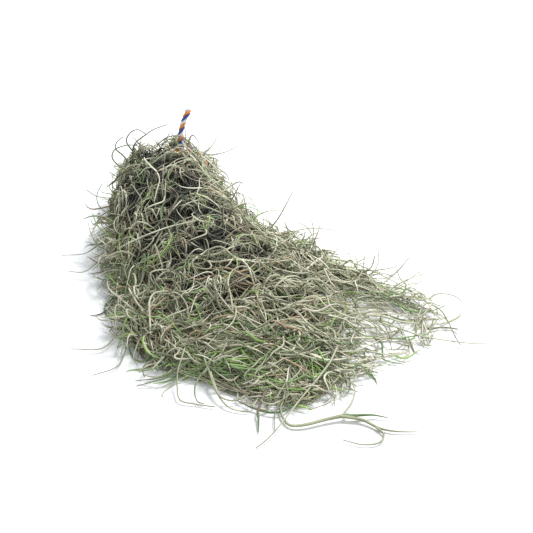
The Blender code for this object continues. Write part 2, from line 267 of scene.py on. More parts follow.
# the rope's own places, which the moss keeps clear of
ropeForm = {
    "radius": 3.0 * mm,
    "loopRadius": 28.7 * mm,
    "knotHeight": 71.2 * mm,
    "knotTop": 76.7 * mm,
    "lay": 14 * mm,  # one full turn of its strands
    "strandRadius": 1.5 * mm,
    "strandOffset": 1.5 * mm,
    "knotSize": 2.3 * mm,
    "knotStrandRadius": 1.05 * mm,
    "knotStrandOffset": 1.0 * mm,
}
knotTop = ropeForm["knotTop"]
freeEndRoute = [
    Vector((0.0, tieY, knotTop + 0.35 * mm)),
    Vector((0.6 * mm, tieY + 0.4 * mm, knotTop + 8 * mm)),
    Vector((3.0 * mm, tieY + 1.2 * mm, knotTop + 17 * mm)),
    Vector((7.0 * mm, tieY + 2.4 * mm, knotTop + 26 * mm)),
    Vector((12.5 * mm, tieY + 4.0 * mm, knotTop + 35 * mm)),
]


def smoothLine(given, between):
    padded = [2 * given[0] - given[1], *given, 2 * given[-1] - given[-2]]
    made = []
    for a, b, c, d in zip(padded, padded[1:], padded[2:], padded[3:]):
        for k in range(between):
            u = k / between
            turn = 2 * a - 5 * b + 4 * c - d
            made.append(0.5 * (2 * b + (c - a) * u + turn * u * u
                               + (3 * (b - c) - a + d) * u * u * u))
    return [*made, given[-1]]


def nearRope(points, clearance):
    # true for each strand with a point close to the loop, the knot or the free end
    x, y, z = points[..., 0], points[..., 1], points[..., 2]
    ring = np.hypot(x, z - bunchForm["neckHeight"])
    close = np.hypot(ring - ropeForm["loopRadius"], y - tieY)
    knot = np.array((0, tieY, ropeForm["knotHeight"]))
    close = np.minimum(close, np.linalg.norm(points - knot, axis=-1) - 2.5 * mm)
    for a, b in zip(freeEndRoute, freeEndRoute[1:]):
        start, run = np.array(a), np.array(b - a)
        share = np.clip(((points - start) @ run) / (run @ run), 0, 1)[..., None]
        close = np.minimum(close, np.linalg.norm(points - start - share * run, axis=-1))
    return (close < ropeForm["radius"] + clearance).any(axis=-1)


def makeTubeTree(sides):
    # sweeps polylines with a girth, a tint and a share along as tubes
    tree = bpy.data.node_groups.new("strandTubes", "GeometryNodeTree")
    tree.interface.new_socket("Geometry", in_out="INPUT", socket_type="NodeSocketGeometry")
    tree.interface.new_socket("Geometry", in_out="OUTPUT", socket_type="NodeSocketGeometry")
    source = addNode(tree, "NodeGroupInput")
    line = addNode(tree, "GeometryNodeMeshToCurve", links={"Mesh": source.outputs[0]})
    ring = addNode(tree, "GeometryNodeCurvePrimitiveCircle", {"Resolution": sides, "Radius": 1.0})
    turn = addNode(tree, "GeometryNodeSplineParameter")
    marked = addNode(tree, "GeometryNodeStoreNamedAttribute", {"Name": "around"},
                     {"Geometry": ring.outputs[0], "Value": turn.outputs["Factor"]})
    girth = addNode(tree, "GeometryNodeInputNamedAttribute", {"Name": "girth"})
    tube = addNode(tree, "GeometryNodeCurveToMesh", {"Fill Caps": True}, {
        "Curve": line.outputs[0], "Profile Curve": marked.outputs[0],
        "Scale": girth.outputs["Attribute"],
    })
    sink = addNode(tree, "NodeGroupOutput")
    tree.links.new(tube.outputs[0], sink.inputs[0])
    return tree


def strandMesh(name, batches, tree):
    # each batch is (points, girths, tints): strands x steps x 3, strands x steps, strands
    lines = bpy.data.meshes.new(name + "Lines")
    count = sum(p.shape[0] * p.shape[1] for p, _, _ in batches)
    edges, first = [], 0
    for points, _, _ in batches:
        rows, steps = points.shape[:2]
        ids = first + np.arange(rows * steps).reshape(rows, steps)
        edges.append(np.stack([ids[:, :-1].ravel(), ids[:, 1:].ravel()], axis=-1))
        first += rows * steps
    edges = np.concatenate(edges)
    lines.vertices.add(count)
    lines.edges.add(len(edges))
    lines.vertices.foreach_set("co", np.concatenate([p.ravel() for p, _, _ in batches]))
    lines.edges.foreach_set("vertices", edges.ravel())
    alongs = [np.tile(np.linspace(0, 1, p.shape[1]), p.shape[0]) for p, _, _ in batches]
    columns = {
        "girth": np.concatenate([g.ravel() for _, g, _ in batches]),
        "tint": np.concatenate([np.repeat(t, p.shape[1]) for p, _, t in batches]),
        "along": np.concatenate(alongs),
        "depth": np.concatenate([depthInMoss(p).ravel() for p, _, _ in batches]),
    }
    for label, column in columns.items():
        lines.attributes.new(label, "FLOAT", "POINT").data.foreach_set("value", column)
    holder = showObject(bpy.data.objects.new(name + "Lines", lines))
    sweep = holder.modifiers.new("Sweep", "NODES")
    sweep.node_group = tree
    graph = bpy.context.evaluated_depsgraph_get()
    made = bpy.data.meshes.new_from_object(holder.evaluated_get(graph))
    made.name = name
    made.attributes.remove(made.attributes["girth"])
    bpy.data.objects.remove(holder)
    made.shade_smooth()
    return made


def curled(root, heading, axis, length, bend, wave, steps):
    # thread-like leaves that leave their roots, curl round their own axes and sway as they go
    points = [root]
    for k in range(steps):
        share = (k + 0.5) / steps
        angle = (bend * share ** 1.2 + wave * np.sin(2.2 * math.pi * share))[:, None]
        turned = (heading * np.cos(angle) + np.cross(axis, heading) * np.sin(angle)
                  + axis * (axis * heading).sum(-1, keepdims=True) * (1 - np.cos(angle)))
        points.append(points[-1] + turned * (length / steps)[:, None])
    return np.stack(points, axis=1)


leafForm = {
    "length": (28 * mm, 50 * mm),
    "bend": (0.4, 3.0),
    "wave": 0.8,
    "steps": 6,
    "radius": (0.5 * mm, 0.95 * mm),
    "taper": ((0, 0.85), (0.2, 1.0), (0.6, 0.78), (0.85, 0.5), (1.0, 0.12)),
}
curlForm = {
    "length": (34 * mm, 74 * mm),
    "bend": (0.6, 5.2),
    "wave": 1.0,
    "steps": 10,
    "radius": (0.55 * mm, 1.1 * mm),
    "taper": ((0, 0.7), (0.25, 1.0), (0.6, 0.85), (0.85, 0.55), (1.0, 0.12)),
}
stemForm = {
    "pitch": 13 * mm,  # half of the distance between two leaves
    "points": 13,
    "radius": (0.5 * mm, 0.8 * mm),
    "zigzag": 1.9 * mm,
}
# share of the strands in each colour, and where that colour sits on the tint ramp
tintShares = {
    "paleGrey": (0.34, 0.02, 0.20), "grey": (0.28, 0.20, 0.42), "olive": (0.16, 0.42, 0.58),
    "tan": (0.09, 0.62, 0.70), "brown": (0.05, 0.72, 0.78), "fresh": (0.08, 0.84, 1.0),
}
# where fresh growth lies together: x, y and reach, in mm
freshPatches = ((-86, -109, 20), (-66, -127, 22), (-46, -128, 18), (34, -137, 24), (69, -152, 20),
                (-75, -6, 16), (3, -176, 14), (-105, 27, 14), (-37, -93, 14), (96, -60, 18),
                (40, 90, 12), (-60, 175, 12))


# the strands over the loose ends lie straighter, and run one way, level in the camera's view
frontForm = {
    "reach": (-80 * mm, 10 * mm),  # y where this is full and where it stops
    "bend": 0.5,
    "direction": (0.93, -0.37, 0),
    "pull": 2.2,
}


def looseness(x, y):
    # 0 where the moss is dense, 1 where it lies thin over the table
    side = np.interp(x, [8 * mm, 80 * mm], [0, 1]) * np.interp(y, [-60 * mm, 30 * mm], [1, 0.1])
    fromEnd = y - looseEnd(np.clip(shareAcross(x, y), -1, 1))
    return np.clip(side + np.interp(fromEnd, [-20 * mm, 40 * mm], [0.85, 0]), 0, 1)


def drawTints(draw, x, y):
    # greener in the patches of fresh growth, paler where the moss is thin and dry
    count = len(x)
    shares = np.array([s for s, _, _ in tintShares.values()])
    picks = draw.choice(len(shares), size=count, p=shares / shares.sum())
    low = np.array([a for _, a, _ in tintShares.values()])[picks]
    high = np.array([b for _, _, b in tintShares.values()])[picks]
    tints = low + (high - low) * draw.random(count)
    greener = np.full(count, 0.02)
    for patchX, patchY, reach in freshPatches:
        away = np.hypot(x - patchX * mm, y - patchY * mm) / (reach * mm)
        greener += 0.5 * np.exp(-away * away)
    dry = draw.random(count) < 0.6 * looseness(x, y)
    tints[dry] = 0.16 * draw.random(dry.sum())
    fresh = draw.random(count) < greener
    tints[fresh] = 0.82 + 0.18 * draw.random(fresh.sum())
    return tints


def leafBatch(draw, root, heading, axis, stray, form, stretch=1.0):
    # single leaves from their roots, without those that are too near the rope or in thin moss
    count = len(root)
    length = stretch * draw.uniform(*form["length"], count)
    bend = form["bend"][0] + (form["bend"][1] - form["bend"][0]) * draw.random(count) ** 1.6
    bend = bend * np.interp(root[:, 1], frontForm["reach"], [frontForm["bend"], 1.0])
    wave = form["wave"] * draw.normal(size=count) * 0.6
    points = curled(root, heading, axis, length, bend, wave, form["steps"])
    points = settled(points, stray, draw)
    taper = np.interp(np.linspace(0, 1, form["steps"] + 1), *np.array(form["taper"]).T)
    middle = points[:, form["steps"] // 2]
    thin = looseness(middle[:, 0], middle[:, 1])
    stout = np.interp(root[:, 1], [-140 * mm, 60 * mm], [1.45, 1.0]) * (1 - 0.25 * thin)
    girths = (draw.uniform(*form["radius"], count) * stout)[:, None] * taper
    keep = ~nearRope(points, 1.4 * mm) & (draw.random(count) > hankDetail["thinning"] * thin)
    tints = drawTints(draw, root[:, 0], root[:, 1])
    return points[keep], girths[keep], tints[keep]


def drawPlaces(draw, count, low, high, yLow, yHigh, weights):
    # places on the bunch between two shares of its reach: count is what would fill it densely
    y = draw.uniform(yLow, yHigh, count)
    t = np.sin(draw.uniform(math.asin(low), math.asin(high), count))
    wanted = np.interp(y, np.linspace(yLow, yHigh, len(weights)), weights)
    keep = (draw.random(count) < wanted) & (y > looseEnd(t) + 14 * mm)
    return t[keep], y[keep]


def stemBatch(draw, hank):
    low, high = bunchForm["hankEdges"][hank:hank + 2]
    steps = stemForm["points"]
    t, start = drawPlaces(draw, hankDetail["stems"][hank], low, high, -120 * mm, 178 * mm,
                          [0.7, 1, 1, 1, 0.9])
    count = len(t)
    level = 0.4 + 0.62 * draw.random(count) ** 0.6
    drop = np.arange(steps) * stemForm["pitch"] * draw.uniform(0.7, 1.15, count)[:, None]
    y = start[:, None] - drop
    # six rows are drawn and three are used: fewer would shift every draw after them
    phase = draw.uniform(0, 2 * math.pi, (6, count))[:, :, None]
    sway = draw.uniform(5 * mm, 16 * mm, count)[:, None]
    x = acrossMoss(t[:, None], y) + sway * np.sin(y / (15 * mm) + phase[0])
    x = x + 0.5 * sway * np.sin(y / (8 * mm) + phase[1])
    x = x + stemForm["zigzag"] * np.where(np.arange(steps) % 2, 1, -1)
    top, under = mossHeights(x, y)
    z = under + (top - under) * (level[:, None] + 0.14 * np.sin(y / (12 * mm) + phase[2]))
    points = settled(np.stack([x, y, z], axis=-1), 0, draw)
    radius = draw.uniform(*stemForm["radius"], count)
    girths = radius[:, None] * np.linspace(1.1, 0.55, steps)[None, :]
    middle = points[:, steps // 2]
    thin = looseness(middle[:, 0], middle[:, 1])
    keep = ~nearRope(points, 1.4 * mm) & (draw.random(count) > hankDetail["thinning"] * thin)
    return points[keep], girths[keep], drawTints(draw, x[keep, 0], y[keep, 0])


def stemLeaves(draw, stems):
    # a leaf at each of a stem's nodes
    points = stems[0][:, 1:-1]
    along = normalised(stems[0][:, 2:] - stems[0][:, :-2]).reshape(-1, 3)
    root = points.reshape(-1, 3)
    t = np.clip(shareAcross(root[:, 0], root[:, 1]), -1, 1)
    normal = surfaceNormals(t, root[:, 1])
    aside = normalised(np.cross(along, normal)) * draw.choice((-1, 1), len(root))[:, None]
    lean = draw.uniform(0.4, 1.6, (len(root), 1))
    heading = normalised(along + lean * aside + 0.3 * randomDirections(draw, len(root)))
    axis = normalised(normal * draw.choice((-1, 1), len(root))[:, None]
                      + 0.7 * randomDirections(draw, len(root)))
    axis = squareTo(heading, axis)
    stray = np.where(draw.random((len(root), 1)) < 0.1, 14 * mm, 2 * mm)
    return leafBatch(draw, root, heading, axis, stray, leafForm)


def coverCurls(draw, hank):
    # curls that lie over the surface: mostly across it, along it on the steep left flank, where
    # they would hang down otherwise, and all one way over the loose ends
    low, high = bunchForm["hankEdges"][hank:hank + 2]
    t, y = drawPlaces(draw, hankDetail["curls"][hank], low, high, -185 * mm, 228 * mm,
                      [0.35, 0.5, 0.75, 0.85, 0.85, 0.85, 0.8, 0.78, 0.8])
    count = len(t)
    x = acrossMoss(t, y)
    top, under = mossHeights(x, y)
    level = 0.45 + 0.55 * draw.random(count) ** 0.5
    root = np.stack([x, y, under + (top - under) * level], axis=-1)
    normal = surfaceNormals(t, y)
    flow = flowDirections(x, y)
    across = normalised(np.cross(flow, normal)) * draw.choice((-1, 1), count)[:, None]
    tangent = randomDirections(draw, count)
    tangent = squareTo(normal, tangent)
    pull = np.interp(y, [-170 * mm, -60 * mm, 120 * mm], [0.7, 0.5, 0.15])[:, None]
    front = np.interp(y, frontForm["reach"], [1, 0])[:, None]
    tangent = (1 - 0.55 * front) * tangent
    pull = (1 - 0.6 * front) * pull
    loose = draw.random((count, 1)) < hankDetail["looseShare"]
    rising, lying = draw.uniform(0.2, 1.2, (count, 1)), draw.uniform(-0.2, 0.3, (count, 1))
    outward = np.where(loose, rising, lying)
    leftward = np.clip(-t, 0, 1)[:, None] * (1 - 0.8 * front)
    swept = np.array(frontForm["direction"]) * draw.choice((-1, 1), (count, 1))
    across = (1 - front) * across + frontForm["pull"] * front * swept
    lengthwise = flow * draw.choice((-1, 1), (count, 1))
    across = 0.8 * (1 - leftward) * across + 0.9 * leftward * lengthwise
    heading = normalised(tangent + across + pull * flow + outward * normal)
    axis = normal * draw.choice((-1, 1), count)[:, None] + 0.55 * randomDirections(draw, count)
    axis = squareTo(heading, axis)
    stray = np.where(loose, 20 * mm, 2 * mm)
    return leafBatch(draw, root, heading, axis, stray, curlForm)


def crownCurls(draw, hank):
    # curls round the rope's foot, which hide part of the turn and its knot
    low, high = bunchForm["hankEdges"][hank:hank + 2]
    count = hankDetail["crown"]
    front = draw.random(count) < 0.6
    ahead, behind = (draw.uniform(a * mm, b * mm, count) for a, b in ((158, 180), (203, 222)))
    y = np.where(front, ahead, behind)
    t = draw.uniform(low, high, count)
    x = acrossMoss(t, y)
    top, under = mossHeights(x, y)
    root = np.stack([x, y, under + (top - under) * draw.uniform(0.75, 1.0, count)], axis=-1)
    toward = np.stack([-0.6 * x / (30 * mm), np.where(front, 0.5, -0.5), np.full(count, 0.45)],
                      axis=-1)
    heading = normalised(toward + 1.1 * randomDirections(draw, count))
    axis = randomDirections(draw, count)
    axis = squareTo(heading, axis)
    stray = draw.choice((5 * mm, 26 * mm), (count, 1), p=(0.8, 0.2))
    return leafBatch(draw, root, heading, axis, stray, curlForm, 0.9)


def fringeWisps(draw, hank):
    # wisps that curl out over the table along the outer side of an outermost hank
    side = -1 if hank == 0 else 1
    count = hankDetail["wisps"]
    y = draw.uniform(-135 * mm, 215 * mm if side < 0 else 60 * mm, count)
    t = side * draw.uniform(0.82, 1.0, count)
    x = acrossMoss(t, y)
    top, under = mossHeights(x, y)
    root = np.stack([x, y, under + (top - under) * draw.uniform(0.1, 0.9, count)], axis=-1)
    heading = normalised(np.array((side, -0.25, 0.12)) + 0.7 * randomDirections(draw, count))
    axis = np.array((0, 0, 1)) * draw.choice((-1, 1), count)[:, None]
    axis = axis + 0.5 * randomDirections(draw, count)
    axis = squareTo(heading, axis)
    return leafBatch(draw, root, heading, axis, np.full((count, 1), 30 * mm), curlForm)


def endWisps(draw, hank):
    # wisps that run out over the table past the loose ends
    low, high = bunchForm["hankEdges"][hank:hank + 2]
    count = hankDetail["endWisps"]
    t = draw.uniform(low, high, count)
    y = looseEnd(t) + draw.uniform(-14 * mm, 30 * mm, count)
    x = acrossMoss(t, y)
    top, under = mossHeights(x, y)
    root = np.stack([x, y, under + (top - under) * draw.uniform(0.2, 0.9, count)], axis=-1)
    aside = np.stack([draw.uniform(-1.3, 1.3, count), np.full(count, -1.0), 0 * x], axis=-1)
    heading = normalised(aside + 0.35 * randomDirections(draw, count))
    axis = np.array((0, 0, 1)) * draw.choice((-1, 1), count)[:, None]
    axis = axis + 0.4 * randomDirections(draw, count)
    axis = squareTo(heading, axis)
    return leafBatch(draw, root, heading, axis, np.full((count, 1), 60 * mm), curlForm, 0.8)


# the strands that stand out from the rest: hank, tint, first and last radius and points, in mm
loneStems = (
    # wisps out over the table at the left
    (0, 0.40, (0.9, 0.4), ((-96, 96, 30), (-116, 100, 20), (-130, 108, 9), (-150, 124, 3))),
    (0, 0.30, (0.8, 0.4), ((-92, 70, 30), (-118, 78, 16), (-136, 74, 8), (-150, 88, 4))),
    (0, 0.36, (0.9, 0.4), ((-104, -18, 16), (-124, -32, 9), (-146, -52, 4), (-172, -42, 3))),
    (0, 0.42, (0.8, 0.4), ((-108, -40, 14), (-126, -58, 7), (-140, -80, 3), (-162, -84, 2))),
    (0, 0.46, (0.8, 0.4), ((-70, 122, 58), (-81, 120, 62), (-94, 118, 60), (-110, 112, 67),
                           (-120, 106, 78))),
    (0, 0.44, (0.8, 0.4), ((-84, 102, 44), (-95, 100, 50), (-105, 98, 55), (-112, 98, 65),
                           (-112, 98, 76), (-106, 98, 86))),
    (0, 0.86, (1.1, 0.4), ((-88, -110, 14), (-104, -114, 10), (-114, -114, 7), (-132, -104, 2))),
    (0, 0.50, (1.0, 0.4), ((-92, -112, 13), (-106, -116, 8), (-118, -114, 5), (-133, -111, 2))),
    # arcs round the head, and a dark dead tip
    (0, 0.76, (1.4, 0.3), ((-66, 150, 74), (-78, 150, 69), (-86, 148, 63), (-94, 146, 59))),
    (0, 0.56, (1.0, 0.5), ((-50, 165, 66), (-58, 165, 84), (-65, 165, 98), (-60, 165, 107),
                           (-52, 165, 109), (-44, 165, 103))),
    (0, 0.82, (1.0, 0.5), ((-60, 172, 66), (-68, 172, 80), (-76, 170, 90), (-74, 168, 98),
                           (-68, 166, 103))),
    (0, 0.57, (1.1, 0.5), ((-58, 168, 70), (-59, 168, 84), (-55, 168, 94), (-44, 168, 101),
                           (-34, 168, 106), (-20, 168, 109))),
    (0, 0.48, (1.0, 0.5), ((-64, 160, 66), (-75, 160, 74), (-82, 160, 84), (-79, 160, 93),
                           (-66, 160, 96), (-54, 160, 93), (-46, 160, 84))),
    (2, 0.50, (0.9, 0.4), ((4, 176, 70), (18, 173, 68), (32, 169, 67), (46, 166, 70),
                           (56, 162, 76))),
    (1, 0.74, (0.9, 0.4), ((-30, 178, 84), (-20, 176, 91), (-11, 174, 93), (-2, 172, 90),
                           (4, 170, 84), (10, 168, 74))),
    # a pale forked stem over the head, and loops over the body
    (0, 0.04, (1.1, 0.8), ((-46, 172, 74), (-50, 148, 80), (-48, 134, 79), (-46, 123, 78),
                           (-47, 109, 75), (-54, 95, 71), (-60, 84, 65))),
    (0, 0.06, (0.9, 0.3), ((-48, 134, 79), (-54, 136, 78), (-61, 133, 74), (-68, 134, 69))),
    (0, 0.10, (0.9, 0.3), ((-46, 123, 78), (-38, 122, 81), (-29, 125, 82), (-21, 120, 79))),
    (0, 0.14, (1.2, 0.4), ((-104, 66, 30), (-94, 52, 42), (-77, 42, 53), (-56, 40, 58),
                           (-39, 38, 60), (-24, 44, 58))),
    (0, 0.16, (1.1, 0.6), ((-108, -66, 18), (-104, -50, 26), (-100, -37, 31), (-93, -31, 34),
                           (-83, -36, 36), (-75, -45, 36), (-73, -59, 33), (-76, -71, 30))),
    (0, 0.22, (1.0, 0.5), ((-38, -76, 30), (-35, -63, 36), (-32, -48, 40), (-24, -36, 43),
                           (-13, -32, 44), (-6, -39, 42), (-8, -54, 39))),
    # seed stalks and wisps on the right flank
    (2, 0.72, (0.9, 0.35), ((46, 44, 34), (56, 46, 44), (66, 50, 56), (74, 53, 67))),
    (2, 0.70, (0.9, 0.35), ((10, 60, 62), (12, 58, 68), (16, 58, 75), (21, 60, 81))),
    (2, 0.40, (0.8, 0.35), ((58, 40, 24), (80, 44, 26), (104, 40, 24), (130, 28, 16))),
    (2, 0.34, (0.9, 0.4), ((78, -28, 30), (92, -40, 30), (108, -59, 26), (125, -76, 18),
                           (141, -95, 9), (141, -109, 4))),
    (2, 0.38, (1.0, 0.4), ((112, -70, 14), (134, -98, 12), (157, -92, 10), (173, -96, 6),
                           (175, -106, 4))),
    (2, 0.42, (0.9, 0.4), ((130, -92, 14), (144, -113, 10), (143, -132, 7), (139, -149, 4),
                           (137, -161, 3))),
    (2, 0.30, (1.0, 0.4), ((84, -112, 10), (97, -125, 8), (110, -140, 6), (125, -151, 5),
                           (145, -163, 4), (161, -169, 3))),
    (2, 0.90, (1.0, 0.4), ((108, -92, 12), (122, -106, 8), (140, -108, 5), (158, -104, 4))),
    # legs and arcs from the loose ends down to the table
    (0, 0.30, (1.0, 0.5), ((-88, -98, 18), (-95, -109, 14), (-100, -117, 11), (-104, -129, 7),
                           (-106, -142, 3), (-96, -150, 2), (-83, -159, 2))),
    (0, 0.44, (0.9, 0.5), ((-70, -116, 18), (-78, -125, 14), (-87, -131, 11), (-93, -139, 7),
                           (-94, -148, 3), (-90, -152, 2))),
    (0, 0.36, (0.9, 0.5), ((-77, -116, 17), (-77, -128, 12), (-78, -140, 9), (-77, -153, 6),
                           (-69, -159, 4), (-58, -159, 5), (-49, -154, 7))),
    (0, 0.26, (1.0, 0.5), ((-76, -128, 12), (-77, -142, 8), (-77, -154, 5), (-74, -164, 3),
                           (-68, -170, 2), (-60, -175, 2))),
    (0, 0.74, (1.4, 0.8), ((-40, -160, 9), (-50, -172, 7), (-56, -180, 5), (-58, -187, 3))),
    (0, 0.86, (1.2, 0.4), ((-56, -182, 5), (-60, -192, 3), (-63, -199, 2))),
    (0, 0.48, (1.0, 0.4), ((-26, -164, 13), (-30, -177, 10), (-37, -178, 7), (-45, -187, 4),
                           (-51, -201, 2))),
    (1, 0.26, (1.2, 0.45), ((30, -140, 16), (19, -152, 14), (12, -158, 13), (-4, -170, 11),
                            (-22, -182, 8), (-41, -196, 5), (-57, -207, 3), (-71, -214, 2))),
    # the sprig in front: its stem, its sheath and the leaves that fork from it
    (1, 0.36, (0.9, 1.7), ((-26, -164, 11), (-33, -176, 8), (-38, -182, 5), (-40, -192, 3),
                           (-38, -201, 2.5), (-28, -205, 3), (-10, -206, 3.5), (6, -208, 4))),
    (1, 0.84, (1.6, 0.35), ((0, -207, 4), (12, -211, 4), (24, -214, 3), (34, -220, 2))),
    (1, 0.42, (1.6, 0.35), ((0, -207, 4), (14, -216, 3), (22, -228, 2), (32, -236, 2),
                            (47, -242, 1.5))),
    (1, 0.36, (1.0, 0.4), ((20, -226, 2.5), (22, -236, 2), (14, -242, 2), (2, -239, 2),
                           (-9, -229, 2))),
    (1, 0.30, (0.9, 0.35), ((2, -207, 4.5), (16, -196, 6), (24, -182, 8), (18, -168, 9),
                            (8, -160, 10))),
)


def loneBatches(hank):
    made = []
    for owner, tint, radii, route in loneStems:
        if owner == hank:
            line = smoothLine([Vector(p) * mm for p in route], 5)
            ends = np.linspace(0, 1, len(line))
            girth = (radii[0] + (radii[1] - radii[0]) * ends ** 1.4) * mm
            made.append((np.array([line]), girth[None, :], np.array([tint])))
    return made


def makeMossMaterial():
    # Tillandsia leaf: grey-green skin under a felt of silvery scales that scatters light, so
    # it looks matt and pale where dry, with fresh green and dead tan strands among the rest
    made, tree, shader = newMaterial("scalyMossLeaf")
    place = addNode(tree, "ShaderNodeTexCoord")
    tint = addNode(tree, "ShaderNodeAttribute", attribute_name="tint")
    along = addNode(tree, "ShaderNodeAttribute", attribute_name="along")
    body = addNode(tree, "ShaderNodeValToRGB", links={"Fac": tint.outputs["Fac"]})
    setRamp(body, [(0.0, "#e6e4cf"), (0.20, "#c4c5a6"), (0.42, "#939c75"), (0.58, "#56653b"),
                   (0.66, "#ae946f"), (0.75, "#614a33"), (0.80, "#3d5b2e"), (0.90, "#669042"),
                   (1.0, "#9ec856")])
    patch = addNode(tree, "ShaderNodeTexNoise", {"Scale": 60.0, "Detail": 3.0},
                    {"Vector": place.outputs["Object"]})
    patchMix = addNode(tree, "ShaderNodeMix", {"B": srgb("#a99d88")},
                       {"A": body.outputs["Color"]}, data_type="RGBA", blend_type="MULTIPLY")
    patchAmount = addNode(tree, "ShaderNodeMapRange",
                          {"From Min": 0.42, "From Max": 0.68, "To Max": 0.55},
                          {"Value": patch.outputs["Fac"]})
    tree.links.new(patchAmount.outputs["Result"], patchMix.inputs["Factor"])
    # scales 0.1 mm wide would not show, so the speckle is drawn 0.7 mm coarse
    scales = addNode(tree, "ShaderNodeTexVoronoi", {"Scale": 1400.0},
                     {"Vector": place.outputs["Object"]})
    pale = addNode(tree, "ShaderNodeMix", {"B": srgb("#d9d8cc")},
                   {"A": patchMix.outputs["Result"]}, data_type="RGBA")
    paleAmount = addNode(tree, "ShaderNodeMapRange",
                         {"From Min": 0.2, "From Max": 0.7, "To Min": 0.22, "To Max": 0.0},
                         {"Value": scales.outputs["Distance"]})
    tree.links.new(paleAmount.outputs["Result"], pale.inputs["Factor"])
    tipShade = addNode(tree, "ShaderNodeMapRange", {"From Min": 0.75, "From Max": 1.0,
                                                    "To Max": 0.5},
                       {"Value": along.outputs["Fac"]})
    tip = addNode(tree, "ShaderNodeMix", {"B": srgb("#6b5c42")},
                  {"A": pale.outputs["Result"], "Factor": tipShade.outputs["Result"]},
                  data_type="RGBA")
    # painted shade: strands deeper inside the bunch are mixed towards brown-black
    depth = addNode(tree, "ShaderNodeAttribute", attribute_name="depth")
    paintedShadeAmount = addNode(tree, "ShaderNodeMapRange",
                   {"From Min": 0.05, "From Max": 0.5, "To Max": 0.94},
                   {"Value": depth.outputs["Fac"]})
    inner = addNode(tree, "ShaderNodeMix", {"B": srgb("#1e1f12")},
                    {"A": tip.outputs["Result"], "Factor": paintedShadeAmount.outputs["Result"]},
                    data_type="RGBA")
    tree.links.new(inner.outputs["Result"], shader.inputs["Base Color"])
    bump = addNode(tree, "ShaderNodeBump", {"Strength": 0.35, "Distance": 0.0002},
                   {"Height": scales.outputs["Distance"]})
    tree.links.new(bump.outputs["Normal"], shader.inputs["Normal"])
    shader.inputs["Roughness"].default_value = 0.72
    shader.inputs["Specular IOR Level"].default_value = 0.35
    shader.inputs["Sheen Weight"].default_value = 0.25
    shader.inputs["Sheen Roughness"].default_value = 0.6
    return made


def makeInnerShadeMaterial():
    # painted shade inside the bunch: a near-black fibrous mass that stands for the dark gaps
    # between strands
    made, tree, shader = newMaterial("innerMossPaintedShade")
    place = addNode(tree, "ShaderNodeTexCoord")
    fibres = addNode(tree, "ShaderNodeTexNoise", {"Scale": 420.0, "Detail": 4.0},
                     {"Vector": place.outputs["Object"]})
    colour = addNode(tree, "ShaderNodeValToRGB", links={"Fac": fibres.outputs["Fac"]})
    setRamp(colour, [(0.3, "#14140c"), (0.5, "#27261a"), (0.68, "#464130")])
    tree.links.new(colour.outputs["Color"], shader.inputs["Base Color"])
    bump = addNode(tree, "ShaderNodeBump", {"Strength": 1.0, "Distance": 0.002},
                   {"Height": fibres.outputs["Fac"]})
    tree.links.new(bump.outputs["Normal"], shader.inputs["Normal"])
    shader.inputs["Roughness"].default_value = 0.95
    shader.inputs["Specular IOR Level"].default_value = 0.1
    return made


# the dark inner mass of each hank, painted shade between its strands: a sphere drawn out along it
# and roughened
heartForm = {
    "around": 28, "lengthwise": 46, "height": 0.66, "width": 0.92,
    "sides": ((-0.93, -0.36), (-0.36, 0.312), (0.312, 0.80)),
    "ends": (-96 * mm, -110 * mm, -50 * mm), "head": 213 * mm, "roughness": 4.0 * mm,
}
noise.seed_set(31)  # without a seed, noise_vector differs from one run to the next


def heartMesh(hank):
    low, high = heartForm["sides"][hank]
    heart = bmesh.new()
    bmesh.ops.create_uvsphere(heart, u_segments=heartForm["around"],
                              v_segments=heartForm["lengthwise"], radius=1.0)
    bmesh.ops.rotate(heart, verts=heart.verts, matrix=Matrix.Rotation(-math.pi / 2, 3, "X"))
    end, head = heartForm["ends"][hank], heartForm["head"]
    for vert in heart.verts:
        share = 0.5 + math.asin(max(-1, min(1, vert.co.y))) / math.pi
        y = end + (head - end) * share
        left, right = float(acrossMoss(low, y)), float(acrossMoss(high, y))
        spread = math.hypot(vert.co.x, vert.co.z)
        swell = min(1.0, (share / 0.42) ** 0.7, ((1 - share) / 0.05) ** 0.5 if share < 1 else 0)
        across = vert.co.x / max(spread, 1e-6)
        upward = vert.co.z / max(spread, 1e-6)
        x = (left + right) / 2 + (right - left) / 2 * heartForm["width"] * across * swell
        top, under = (float(v) for v in mossHeights(x, y))
        top = under + (top - under) * heartForm["height"]
        z = (top + under) / 2 + (top - under) / 2 * upward * swell
        here = Vector((x, y, z))
        rough = heartForm["roughness"] * swell * min(1, abs(y - tieY) / (30 * mm))
        here += rough * noise.noise_vector(here * 70)
        here.z = max(here.z, 1.2 * mm)
        vert.co = here
    bmesh.ops.recalc_face_normals(heart, faces=heart.faces)
    made = bpy.data.meshes.new(f"innerMoss{hank + 1}")
    heart.to_mesh(made)
    heart.free()
    made.shade_smooth()
    return made


